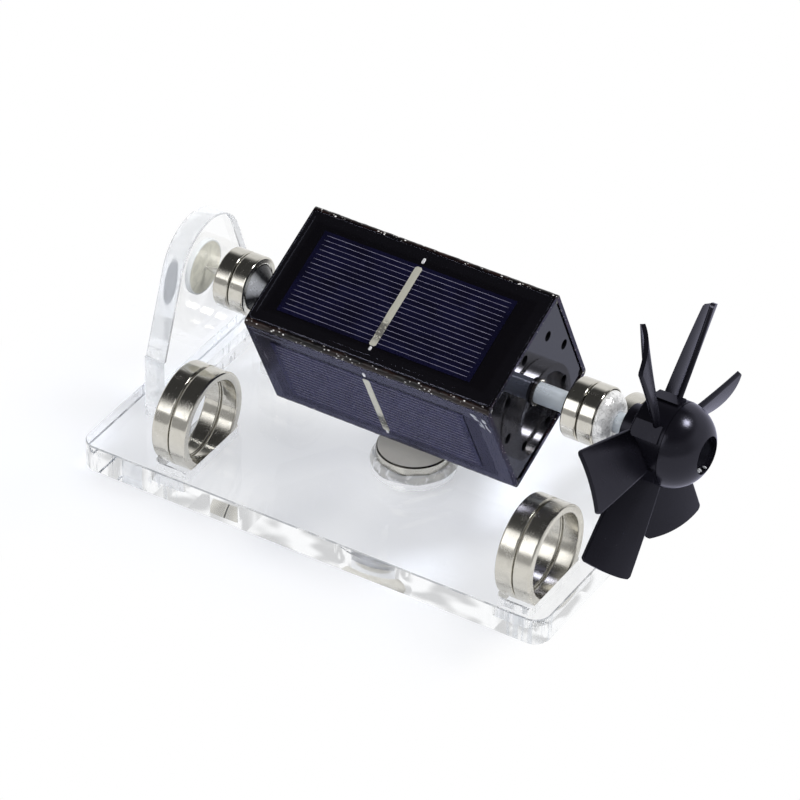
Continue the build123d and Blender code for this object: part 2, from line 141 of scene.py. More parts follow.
class Graph:
    """Nodes of one material or of the world."""

    def __init__(self, tree):
        self.tree = tree
        tree.nodes.clear()

    def node(self, kind, settings=None, sockets=None, output=0):
        """A new node: its settings first, then the values or wires of its sockets."""
        made = self.tree.nodes.new("ShaderNode" + kind)
        for name, value in (settings or {}).items():
            setattr(made, name, value)
        for name, value in (sockets or {}).items():
            if isinstance(value, Wire):
                self.tree.links.new(value.socket, made.inputs[name])
            elif value is not None:
                made.inputs[name].default_value = value
        return Wire(self, made.outputs[output] if len(made.outputs) else None)

    def place(self):
        return self.node("TexCoord", output="Object")

    def split(self, vector):
        parts = self.node("SeparateXYZ", sockets={0: vector}).socket.node
        return [Wire(self, socket) for socket in parts.outputs]

    def facing(self):
        return self.split(self.node("NewGeometry", output="True Normal"))

    def outer_face(self):
        """1 on the four boards' outer faces, 0 on their cut edges."""
        _, y, z = self.split(self.place())
        up = z - SHAFT_HEIGHT
        across = abs(y * math.cos(PANEL_LEAN) + up * math.sin(PANEL_LEAN))
        out = abs(up * math.cos(PANEL_LEAN) - y * math.sin(PANEL_LEAN))
        face = PANEL_INNER + BOARD_THICKNESS
        return across.larger(out).rise(face - 0.04 * MM, face - 0.01 * MM)

    def spot(self, stretch):
        """The place on the piece, drawn out along its axes unless the stretch is even."""
        place = self.place()
        if tuple(stretch) == (1, 1, 1):
            return place
        return self.node("VectorMath", {"operation": "MULTIPLY"}, {0: place, 1: stretch})

    def grain(self, size, detail, stretch=(1, 1, 1), rough=0.5, warp=0.0):
        """Smooth noise around 0.5 with features of about the given size in millimetres."""
        sockets = {"Vector": self.spot(stretch), "Scale": 1 / (size * MM)}
        sockets |= {"Detail": detail, "Roughness": rough, "Distortion": warp}
        return self.node("TexNoise", sockets=sockets)

    def specks(self, size, bare, full, stretch=(1, 1, 1)):
        """Strewn specks about the given millimetres apart: 1 within full, 0 beyond bare."""
        sockets = {"Vector": self.spot(stretch), "Scale": 1 / (size * MM), "Randomness": 1.0}
        return self.node("TexVoronoi", {"feature": "F1"}, sockets, "Distance").rise(bare, full)

    def rays(self):
        """1 or 0 each: seen by the camera, mirrored, through clear stuff, or as room light."""
        path = self.node("LightPath").socket.node.outputs
        kinds = ("Is Camera Ray", "Is Glossy Ray", "Is Transmission Ray", "Diffuse Depth")
        camera, glossy, clear, bounces = (Wire(self, path[kind]) for kind in kinds)
        indirect = bounces.smaller(1)
        direct = 1 - indirect
        glossy = glossy * direct
        clear = (clear * direct).smaller(1 - glossy)
        other = 1 - (camera + glossy + clear).smaller(1)
        return camera, glossy, clear, other

    def blend(self, factor, first, second):
        """Mixes two colours, each a wire or red, green and blue."""
        sockets = {0: factor}
        for index, colour in ((6, first), (7, second)):
            sockets[index] = colour if isinstance(colour, Wire) else (*colour, 1)
        settings = {"data_type": "RGBA", "blend_type": "MIX", "clamp_factor": True}
        return self.node("Mix", settings, sockets, output=2)

    def bump(self, height, depth, strength):
        """Bends the surface by a height of 0 to 1 times the depth in millimetres."""
        sockets = {"Strength": strength, "Distance": depth * MM, "Height": height}
        return self.node("Bump", sockets=sockets)

    def mix(self, factor, first, second):
        return self.node("MixShader", sockets={0: factor, 1: first, 2: second})

    def chalky(self, colour):
        return self.node("BsdfDiffuse", sockets={"Color": (*colour, 1)})

    def shining(self, colour):
        return self.node("Emission", sockets={"Color": (*colour, 1), "Strength": 1.0})

    def see_through(self, tint):
        return self.node("BsdfTransparent", sockets={"Color": (*tint, 1)})

    def glossy(self, tint, rough, normal):
        sockets = {"Color": (*tint, 1), "Roughness": rough, "Normal": normal}
        return self.node("BsdfGlossy", sockets=sockets)


class Finish(Graph):
    """A procedural material, and the ways in which its nodes end."""

    def __init__(self, name):
        self.material = bpy.data.materials.new(name)
        self.material.use_nodes = True
        super().__init__(self.material.node_tree)

    def surface(self, colour, rough, normal, **sockets):
        """The Principled surface; socket names are written with underscores."""
        values = {name.replace("_", " "): value for name, value in sockets.items()}
        values["Base Color"] = colour if isinstance(colour, Wire) else (*colour, 1)
        values |= {"Roughness": rough, "Normal": normal}
        return self.node("BsdfPrincipled", sockets=values)

    def done(self, shader):
        self.node("OutputMaterial", sockets={"Surface": shader})
        return self.material

    def solid(self, colour, rough, normal, **sockets):
        """Ends a material that is one Principled surface."""
        return self.done(self.surface(colour, rough, normal, **sockets))

    def lacquered(self, colour, rough, normal, level, tint):
        """A tinted gloss over a dull dark surface, by the Fresnel share times the level."""
        under = self.surface(colour, rough, normal, Specular_IOR_Level=0.0)
        share = self.node("Fresnel", sockets={"IOR": 1.5, "Normal": normal})
        gloss = self.glossy(tint, rough, normal)
        return self.done(self.mix((share * level).smaller(0.9), under, gloss))

    def thick_and_clear(self, shader, settings):
        """Ends a clear material, with a faint shadow and a glow from light caught inside.

        Lamps shine through it, where refraction would cast a black shadow. Light mirrored to
        and fro inside it ends as a soft, uneven glow.
        """
        path = self.node("LightPath").socket.node.outputs
        kinds = ("Ray Depth", "Transmission Depth", "Diffuse Depth", "Is Shadow Ray")
        depth, clear, room, shadow = (Wire(self, path[kind]) for kind in kinds)
        caught = (depth - clear - room).rise(3.2, 3.8).larger(depth.rise(10.2, 10.8))
        patches = self.grain(13, 1, stretch=(1, 1, 0.25)).rise(0.44, 0.60)
        glow = settings.trapped_glow
        light = self.mix(patches, self.shining(glow), self.shining(toned(glow, 0.64)))
        shader = self.mix(caught, shader, light)
        return self.done(self.mix(shadow, shader, self.see_through(settings.shadow_tint)))


def toned(colour, share):
    return tuple(share * part for part in colour)


# ---- Meshes and pieces ----


def dress(material, *nodes):
    """Gives solids of the frame a material and leaves their shape alone."""
    for name in nodes:
        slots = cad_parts[name].data.materials
        slots.clear()
        slots.append(material)


def new_object(name, shape, material):
    """An object in the scene from a shape, which it uses up."""
    mesh = bpy.data.meshes.new(name)
    shape.to_mesh(mesh)
    shape.free()
    mesh.materials.append(material)
    made = bpy.data.objects.new(name, mesh)
    bpy.context.scene.collection.objects.link(made)
    return made


def add_piece(name, shape, material, body="rotor", place=None, stands_for=()):
    """Makes a piece that rides on a body and may stand for plain solids of the frame."""
    bmesh.ops.recalc_face_normals(shape, faces=shape.faces)
    piece = new_object(name, shape, material)
    piece.data.shade_smooth()
    if place is not None:
        piece.matrix_world = place
        bpy.context.view_layer.update()
    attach(piece, body)
    if stands_for:
        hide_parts(*stands_for)
    return piece


def skin(shape, rings, closed=True):
    """Faces between rings of points, each ring a closed loop of the same count."""
    loops = [[shape.verts.new(point) for point in ring] for ring in rings]
    count = len(loops[0])
    for first, second in zip(loops, loops[1:]):
        for i in range(count):
            j = (i + 1) % count
            shape.faces.new((first[i], first[j], second[j], second[i]))
    if closed:
        shape.faces.new(loops[0][::-1])
        shape.faces.new(loops[-1])
    return loops


def thread(shape, spine, radius):
    """A round thread of glue along a list of points, thin at both ends."""
    rings = []
    for step, spot in enumerate(spine):
        ahead = spine[min(step + 1, len(spine) - 1)] - spine[max(step - 1, 0)]
        side = ahead.cross(Vector((0, 0, 1))).normalized()
        over = side.cross(ahead).normalized()
        around = radius * (0.15 + 0.85 * math.sin(math.pi * step / (len(spine) - 1)))
        angles = [math.tau * turn / 12 for turn in range(12)]
        rings.append([spot + around * (math.cos(a) * side + math.sin(a) * over) for a in angles])
    skin(shape, rings)


def rounded_outline(length, width, radius, steps, along):
    """Points round a rectangle with rounded corners, anticlockwise, with some along each side."""
    arcs = []
    for quarter, (x, y) in enumerate(((1, 1), (-1, 1), (-1, -1), (1, -1))):
        for step in range(steps + 1):
            angle = (quarter + step / steps) * math.pi / 2
            right = x * (length / 2 - radius) + radius * math.cos(angle)
            up = y * (width / 2 - radius) + radius * math.sin(angle)
            arcs.append(Vector((right, up)))
    points = []
    for number, (spot, after) in enumerate(zip(arcs, arcs[1:] + arcs[:1])):
        pieces = along if number % (steps + 1) == steps else 1
        points += [spot.lerp(after, piece / pieces) for piece in range(pieces)]
    return points


def wobble(x, y, z, size):
    """Smooth noise from -1 to 1 with features of the given size in millimetres."""
    return noise.noise(Vector((x, y, z)) / (size * MM))


def panel_place(side):
    """From a panel's own axes (X along the shaft, Y across, Z out) to the frame's."""
    return (
        Matrix.Translation((BLOCK_CENTRE, 0, SHAFT_HEIGHT))
        @ Matrix.Rotation(PANEL_LEAN + side * math.pi / 2, 4, "X")
        @ Matrix.Translation((0, 0, PANEL_INNER + BOARD_THICKNESS))
    )


# ---- Settings ----


def colour_setting(name, description, value):
    return FloatVectorProperty(
        name=name, description=description, subtype="COLOR", size=3, min=0, max=1, default=value
    )


def length_setting(name, description, value):
    return FloatProperty(name=name, description=description, unit="LENGTH", min=0, default=value)


def plain_setting(name, description, value, top=1.0):
    return FloatProperty(name=name, description=description, min=0, max=top, default=value)


def turn_setting(name, description, value):
    return FloatProperty(
        name=name, description=description, unit="ROTATION", default=math.radians(value)
    )


class StudioSettings(bpy.types.PropertyGroup):
    floor_colour: colour_setting("Floor", "Colour near the motor", (0.86, 0.885, 0.95))
    floor_radius: length_setting("Floor radius", "Where the floor ends", 6.0)
    room_level: plain_setting("Room light", "Even light from all round", 0.72, 2)
    front_box_power: plain_setting("Front softbox", "Power in watts", 1.25, 20)
    rear_box_power: plain_setting("Rear softbox", "Power in watts", 4.8, 20)
    camera_turn: turn_setting("Camera azimuth", "Turn from straight in front", 31.4)
    camera_rise: turn_setting("Camera elevation", "Angle above the horizon", 37.03)
    camera_roll: turn_setting("Camera roll", "Tilt of the picture", 0.68)
    camera_distance: length_setting("Camera distance", "From camera to target", 1.4185)
    camera_lens: FloatProperty(
        name="Lens", description="Focal length", subtype="DISTANCE_CAMERA", default=247.5
    )


class AcrylicSettings(bpy.types.PropertyGroup):
    clear_colour: colour_setting("Clear colour", "Tint of the clear acrylic", (0.985, 0.99, 0.995))
    shadow_tint: colour_setting("Shadow tint", "Light that gets through", (0.93, 0.95, 0.99))
    trapped_glow: colour_setting("Trapped glow", "Light in the edges", (0.98, 0.985, 0.99))
    edge_haze: plain_setting("Edge haze", "Roughness of the sawn edges", 0.10)


class MagnetSettings(bpy.types.PropertyGroup):
    nickel_colour: colour_setting("Nickel", "Colour of the plating", (0.635, 0.615, 0.56))
    shine_roughness: plain_setting("Roughness", "Roughness of clean plating", 0.09)


class ShaftSettings(bpy.types.PropertyGroup):
    tube_colour: colour_setting("Tube", "Colour of the milky tube", (0.70, 0.76, 0.82))
    disc_colour: colour_setting("Thrust disc", "Colour of the disc's face", (0.74, 0.73, 0.63))


class PanelSettings(bpy.types.PropertyGroup):
    cell_colour: colour_setting("Cell", "Blue of the solar cell", (0.0024, 0.0022, 0.0095))
    board_colour: colour_setting("Board", "Black of the board", (0.0025, 0.0022, 0.0025))
    finger_colour: colour_setting("Fingers", "Printed silver lines", (0.31, 0.30, 0.385))
    finger_count: IntProperty(name="Fingers", description="Lines on a cell", min=2, default=17)
    finger_width: length_setting("Finger width", "Width of one printed line", 0.125 * MM)
    ribbon_width: length_setting("Ribbon width", "Width of the soldered ribbon", 2.0 * MM)
    cover_inset: length_setting("Resin inset", "From the board's edge to the resin", 0.35 * MM)


class WindingSettings(bpy.types.PropertyGroup):
    copper_colour: colour_setting("Copper", "Enamelled wire", (0.55, 0.20, 0.075))
    wire_diameter: length_setting("Wire", "Diameter of the winding wire", 0.35 * MM)


class FanSettings(bpy.types.PropertyGroup):
    plastic_colour: colour_setting("Plastic", "Black of the moulding", (0.0035, 0.0033, 0.005))
    plastic_roughness: plain_setting("Roughness", "Roughness of the moulding", 0.26)


SETTINGS = {
    "motor_studio": StudioSettings,
    "motor_acrylic": AcrylicSettings,
    "motor_magnets": MagnetSettings,
    "motor_shaft": ShaftSettings,
    "motor_panels": PanelSettings,
    "motor_windings": WindingSettings,
    "motor_fan": FanSettings,
}


# ---- Finishes ----


def clear_sheet(finish, settings, axis, sawn, mirroring):
    """A polished sheet's shader, and where its edge faces and its chamfered corners are."""
    tilt = abs(finish.facing()[axis])
    edge = tilt.rise(0.45, 0.35)
    corner = tilt.band(0.5, 0.9, 0.05)
    haze = edge * sawn
    wave = finish.grain(9, 1)
    height = edge * (haze * 0.5 + wave * 0.35) + (1 - edge) * wave * 0.06
    glass = finish.surface(
        settings.clear_colour,
        finish.grain(14, 3) * 0.006 + haze * settings.edge_haze,
        finish.bump(height, 0.05, 0.5),
        IOR=1.49,
        Specular_IOR_Level=mirroring,
        Transmission_Weight=1.0,
    )
    frost = finish.chalky((0.62, 0.64, 0.66))
    return finish.mix(edge * 0.02 + haze * 0.5, glass, frost), edge, corner


# Painted shade: patchy grey along the chamfers, standing in for the dark outlines of clear edges.
def painted_edge_outline(finish, corner):
    return corner * (0.35 + finish.grain(5, 3).rise(0.35, 0.6) * 0.5)


def base_acrylic(settings):
    """Clear acrylic, sawn rough near the front right corner and in patches on the left, with
    painted grey outlines.
    """
    finish = Finish("base_acrylic")
    x, y, _ = finish.split(finish.place())
    streak = finish.grain(0.9, 3, stretch=(1, 1, 0.08)).rise(0.50, 0.62)
    right_corner = x.rise(51 * MM, 60 * MM) * (-y).rise(30 * MM, 38 * MM)
    left_patches = x.rise(-30 * MM, -45 * MM) * finish.grain(8, 2).rise(0.48, 0.60)
    sawn = right_corner.larger(left_patches) * streak
    glass, _, corner = clear_sheet(finish, settings, 2, sawn, mirroring=0.5)
    # Painted shade: grey outlines along the chamfers.
    glass = finish.mix(painted_edge_outline(finish, corner), glass, finish.chalky(PAINTED_SHADE_GREY))
    return finish.thick_and_clear(glass, settings)


def wall_acrylic(settings):
    """Clear acrylic with a milky rim, painted grey outlines, and a painted grey shade and
    reflection of the thrust disc.
    """
    finish = Finish("wall_acrylic")
    x, y, z = finish.split(finish.place())
    streak = finish.grain(1.3, 4).rise(0.50, 0.66)
    sawn = z.rise(33 * MM, 24 * MM) * 0.55 * streak
    glass, edge, corner = clear_sheet(finish, settings, 0, sawn, mirroring=0.25)
    glass = finish.mix(edge * 0.42, glass, finish.chalky((0.93, 0.945, 0.965)))
    up = z - SHAFT_HEIGHT
    # Painted shade: grey where the thrust disc sits on the face, standing in for its dark image.
    insides = ((THRUST_DISC_RADIUS - inset * MM) ** 2 for inset in (0.25, 0.55))
    near_face = x.rise(END_WALL_FACE - 0.6 * MM, END_WALL_FACE - 0.2 * MM)
    painted_disc_shade = (y * y + up * up).rise(*insides) * near_face
    # Painted outlines: grey lines across the edge faces at two heights.
    low_line, high_line = (
        z.band((height - 0.1) * MM, (height + 0.1) * MM, 0.06 * MM) for height in (23.2, 26.0)
    )
    corner = corner.larger(low_line.larger(high_line) * edge * 0.8) * 0.7
    # Painted reflection: a grey image of the thrust disc on the rim.
    aside = (x + 61.3 * MM) / (1.9 * MM)
    above = (z - 43.5 * MM) / (6.0 * MM)
    painted_disc_reflection = (aside * aside + above * above).rise(1.15, 0.75) * y.rise(-6 * MM, -8 * MM) * edge
    grey = painted_edge_outline(finish, corner).larger(painted_disc_shade.larger(painted_disc_reflection * 0.8))
    glass = finish.mix(grey, glass, finish.chalky(PAINTED_SHADE_GREY))
    return finish.thick_and_clear(glass, settings)


def nickel(settings, name, axis, satin=0.0, flat=0.0):
    """Nickel plating with fine rub marks round it, faint stains, scuffs and small dings.

    Satin is added roughness. With flat at 1, the upward face is painted paler, less metal and
    rougher, and its rounded rim is painted dark as shade.
    """
    finish = Finish(name)
    stretch = [1.0, 1.0, 1.0]
    stretch[axis] = 14.0  # rub marks run round the piece
    rub = finish.grain(1.2, 3, stretch=stretch, rough=0.65)
    stain = finish.grain(3.5, 3, warp=0.8)
    scuff = finish.grain(3.2, 4).rise(0.54, 0.68) * finish.grain(0.22, 2).rise(0.5, 0.62)
    ding = finish.specks(1.9, 0.10, 0.02)
    clean = settings.nickel_colour
    colour = finish.blend(stain.rise(0.35, 0.75), clean, toned(clean, 0.90))
    colour = finish.blend(scuff * 0.35, colour, (0.80, 0.79, 0.76))
    upward = finish.facing()[2]
    face = upward.rise(0.8, 0.95) * flat
    painted_dark_rim = upward.band(0.10, 0.96, 0.03) * flat
    # Painted light on the upward face, which turns paler; painted shade on its rounded rim, near
    # black.
    colour = finish.blend(face * 0.5, colour, (0.82, 0.81, 0.77))
    colour = finish.blend(painted_dark_rim, colour, (0.05, 0.046, 0.042))
    rough = settings.shine_roughness + satin + stain * 0.05 + rub * 0.04
    rough = rough + scuff * 0.22 + face * 0.3
    bumped = finish.bump(rub * 0.35 + stain * 0.3 - ding * 0.5, 0.010, 0.5)
    return finish.solid(colour, rough, bumped, Metallic=1 - face * 0.9)


def plate_gloss():
    """Polished black sheet with dust, faint wipe marks and a slight wave."""
    finish = Finish("plate_gloss")
    wipe = finish.grain(9, 3, stretch=(1, 1, 3))
    dusty = finish.grain(5, 2).rise(0.45, 0.65)
    dust = finish.specks(1.3, 0.16, 0.05) * dusty
    shade = finish.blend(dust * 0.25, (0.006, 0.006, 0.0075), (0.10, 0.10, 0.11))
    bumped = finish.bump(finish.grain(11, 1), 0.03, 0.25)
    rough = 0.03 + wipe.rise(0.5, 0.8) * 0.05 + dust * 0.2
    return finish.lacquered(shade, rough, bumped, 0.76, (0.78, 0.80, 1.0))


def moulded_plastic(settings, name, gloss, rougher=0.0):
    """Matt black moulding: fine spark grain, flow marks, rubbed patches and lint."""
    finish = Finish(name)
    spark = finish.grain(0.22, 3)
    flow = finish.grain(7, 3, warp=0.6)
    rubbed = finish.grain(3.5, 4).rise(0.52, 0.72)
    lint = finish.specks(2.3, 0.07, 0.02)
    black = settings.plastic_colour
    colour = finish.blend(flow, black, toned(black, 1.7))
    colour = finish.blend(lint * 0.3, colour, (0.08, 0.08, 0.085))
    rough = settings.plastic_roughness + rougher + (flow - 0.5) * 0.10 - rubbed * 0.05
    bumped = finish.bump(spark * 0.7 + flow * 0.6, 0.03, 0.4)
    return finish.lacquered(colour, rough, bumped, gloss, (0.80, 0.80, 1.0))


def glue(name, colour, rough, metal=0.0, lump=0.5):
    """Set glue: smooth swells, fine bubbles, a slightly uneven colour and painted shade in
    creases.
    """
    finish = Finish(name)
    swell = finish.grain(1.6, 2, warp=0.5)
    bubbly = finish.grain(1.5, 2).rise(0.5, 0.6)
    bubble = finish.specks(0.45, 0.20, 0.05) * bubbly
    painted_crease_shade = finish.grain(2.2, 3, warp=1.5).band(0.47, 0.53, 0.02) * lump
    shade = finish.blend(swell, colour, toned(colour, 0.8))
    # Painted shade: thin dark lines along the creases.
    shade = finish.blend(painted_crease_shade * 0.45, shade, toned(colour, 0.25))
    rough = rough + swell * 0.06 + bubble * 0.15
    bumped = finish.bump(swell - bubble * 0.4, 0.25, lump)
    return finish.solid(shade, rough, bumped, IOR=1.48, Metallic=metal)


def wet_glue(settings):
    """Clear glue that set as it welled up: swells, and a milky streak here and there."""
    finish = Finish("wet_glue")
    swell = finish.grain(2.4, 2, warp=0.5)
    milk = finish.grain(3.0, 3, warp=0.8).rise(0.50, 0.66)
    bumped = finish.bump(swell, 0.2, 0.6)
    clear = finish.surface(
        settings.clear_colour, 0.03 + swell * 0.05, bumped, IOR=1.48, Transmission_Weight=1.0
    )
    clear = finish.mix(milk * 0.45 + 0.36, clear, finish.chalky((0.95, 0.965, 1.0)))
    return finish.thick_and_clear(clear, settings)


def pewter_cone():
    """Dark filler round the shaft, with a broad painted highlight on its upper front."""
    finish = Finish("pewter_cone")
    _, y, z = finish.split(finish.place())
    up = z - SHAFT_HEIGHT
    radius = (y * y + up * up) ** 0.5
    painted_highlight = ((up * 0.6 - y * 0.8) / radius.larger(1 * MM)).rise(0.74, 1.03)
    tone = finish.grain(1.5, 3, warp=0.5)
    # Painted highlight: the colour turns pale on the upper front, with a random tone.
    colour = finish.blend(painted_highlight * (0.85 + tone * 0.3), (0.030, 0.031, 0.035), (0.93, 0.95, 1.0))
    bumped = finish.bump(tone, 0.08, 0.4)
    return finish.solid(colour, 0.22 + tone * 0.1, bumped, Metallic=0.3)


def board_black(settings):
    """Black lacquered board whose cut edges are brown, with painted glints strewn on them."""
    finish = Finish("board_black")
    face = finish.outer_face()
    fleck = finish.specks(0.65, 0.32, 0.12)
    brown = finish.grain(2.6, 4, stretch=(0.6, 1, 1)).rise(0.44, 0.66)
    run = finish.grain(0.7, 3)
    cut = 1 - face
    shade = finish.blend(brown * cut, settings.board_colour, (0.016, 0.0058, 0.0045))
    # Painted glints: pale specks on the cut edges.
    painted_glints = fleck * run.rise(0.50, 0.62) * cut
    shade = finish.blend(painted_glints * 0.8, shade, (0.62, 0.60, 0.57))
    bumped = finish.bump((run * 0.6 + fleck * 0.4) * cut, 0.12, 0.5)
    return finish.lacquered(shade, 0.16 + run * 0.14, bumped, 0.58, PANEL_SHEEN)


def cell_silicon(settings):
    """Deep blue silicon with a faint crystal mottle."""
    finish = Finish("cell_silicon")
    mottle = finish.grain(6, 3, warp=0.4)
    fine = finish.grain(0.5, 2)
    colour = finish.blend(mottle.rise(0.3, 0.7), settings.cell_colour, (0.0036, 0.0035, 0.018))
    colour = finish.blend(fine * 0.25, colour, (0.001, 0.001, 0.004))
    rough = 0.20 + fine * 0.10 + mottle * 0.05
    return finish.lacquered(colour, rough, finish.bump(fine, 0.01, 0.2), 0.60, PANEL_SHEEN)


def printed_silver(settings):
    """Dull printed silver, worn thin in places."""
    finish = Finish("printed_silver")
    worn = finish.grain(1.4, 4, stretch=(0.35, 1, 1))
    colour = finish.blend(worn.rise(0.35, 0.7), settings.finger_colour, (0.20, 0.19, 0.27))
    bumped = finish.bump(worn, 0.01, 0.5)
    return finish.solid(colour, 0.42 + worn * 0.2, bumped, Metallic=0.25)


def tinned_ribbon(settings):
    """Tinned copper ribbon: dull solder skin with a dark flux stain near its front end."""
    finish = Finish("tinned_ribbon")
    across = finish.split(finish.place())[1]
    skin_grain = finish.grain(0.8, 4, stretch=(1, 0.3, 1))
    patch = finish.grain(1.3, 4, warp=1.2).rise(0.36, 0.47)
    flux = across.band(-11.2 * MM, -5.2 * MM, 1.2 * MM) * patch
    bare = abs(across).rise(12.8 * MM, 13.0 * MM)
    colour = finish.blend(skin_grain, (0.74, 0.725, 0.60), (0.57, 0.56, 0.465))
    colour = finish.blend(bare, colour, (0.92, 0.92, 0.90))
    colour = finish.blend(flux * 0.85, colour, (0.03, 0.027, 0.024))
    rough = 0.33 + skin_grain * 0.2 + flux * 0.2
    bumped = finish.bump(skin_grain, 0.06, 0.6)
    return finish.solid(colour, rough, bumped, Metallic=0.55 - flux * 0.4)


def clear_resin():
    """Poured epoxy: clear, with a wet gloss near its rim, a slight swell and pin bubbles."""
    finish = Finish("clear_resin")
    swell = finish.grain(9, 2)
    pin = finish.specks(1.1, 0.10, 0.03)
    bumped = finish.bump(swell * 0.7 - pin * 0.3, 0.08, 0.3)
    gloss = finish.glossy((0.76, 0.78, 1), 0.035, bumped)
    fresnel = finish.node("Fresnel", sockets={"IOR": 1.45, "Normal": bumped})
    x, y, _ = finish.split(finish.place())
    end, side = BLOCK_LENGTH / 2 - 2.7 * MM, PANEL_WIDTH / 2 - 2.9 * MM
    rim = abs(x).rise(end - 1.2 * MM, end).larger(abs(y).rise(side - 1.2 * MM, side))
    share = (fresnel * (0.10 + rim * 1.1)).smaller(0.052)
    return finish.done(finish.mix(share, finish.see_through((0.97, 0.97, 0.99)), gloss))


def milky_tube(settings):
    """Half clear plastic tube with faint streaks along it."""
    finish = Finish("milky_tube")
    streak = finish.grain(2.5, 2, stretch=(0.6, 1, 1))
    milk = settings.tube_colour
    return finish.solid(
        finish.blend(streak, milk, toned(milk, 0.82)),
        0.22 + streak * 0.15,
        finish.bump(streak, 0.05, 0.4),
        IOR=1.46,
        Transmission_Weight=0.35,
        Coat_Weight=0.3,
    )


def thrust_face(settings):
    """Small disc that the pin runs on: a warm grey face with smears, and a clear rim."""
    finish = Finish("mirror_disc")
    _, y, z = finish.split(finish.place())
    up = z - SHAFT_HEIGHT
    across = y * y + up * up
    rim = across.rise(*((THRUST_DISC_RADIUS - inset * MM) ** 2 for inset in (0.6, 0.4)))
    smear = finish.grain(3.2, 4, warp=1.0)
    wear = across.rise((1.2 * MM) ** 2, (0.3 * MM) ** 2)
    grey = settings.disc_colour
    face = finish.blend(smear.rise(0.3, 0.75), grey, toned(grey, 0.78))
    face = finish.blend(wear * 0.5, face, (0.66, 0.65, 0.60))
    face = finish.blend(rim, face, (0.80, 0.82, 0.82))
    rough = 0.22 + smear * 0.2 + rim * 0.1
    return finish.solid(face, rough, finish.bump(smear, 0.02, 0.4), Coat_Weight=0.12)


def enamelled_wire(settings, name, axis):
    """Rows of enamelled copper wire, with painted shade in the grooves between turns."""
    finish = Finish(name)
    place = finish.split(finish.place())[axis]
    turn = (place * (math.tau / settings.wire_diameter)).sum("SINE")
    tone = finish.grain(4, 3)
    colour = finish.blend(tone, settings.copper_colour, (0.40, 0.13, 0.05))
    # Painted shade: dark in the grooves between turns.
    colour = finish.blend(turn.rise(-0.4, -1.0), colour, (0.06, 0.02, 0.01))
    bumped = finish.bump(turn * 0.5 + 0.5, 0.12, 0.8)
    return finish.solid(colour, 0.26 + tone * 0.12, bumped, Metallic=0.85)


def plain_plastic(name, colour, rough):
    """Card or sleeve with a faint tone and a fine grain."""
    finish = Finish(name)
    tone = finish.grain(4, 3)
    shade = finish.blend(tone, colour, toned(colour, 0.75))
    bumped = finish.bump(finish.grain(0.3, 2), 0.02, 0.4)
    return finish.solid(shade, rough + tone * 0.1, bumped)


def ground_steel():
    """Steel with fine grinding lines across the pin."""
    finish = Finish("ground_steel")
    line = finish.grain(0.3, 3, stretch=(9, 1, 1))
    colour = finish.blend(finish.grain(2.5, 3), (0.74, 0.73, 0.70), (0.58, 0.57, 0.55))
    bumped = finish.bump(line, 0.01, 0.4)
    return finish.solid(colour, 0.30 + line * 0.14, bumped, Metallic=0.6)


# ---- Operators ----


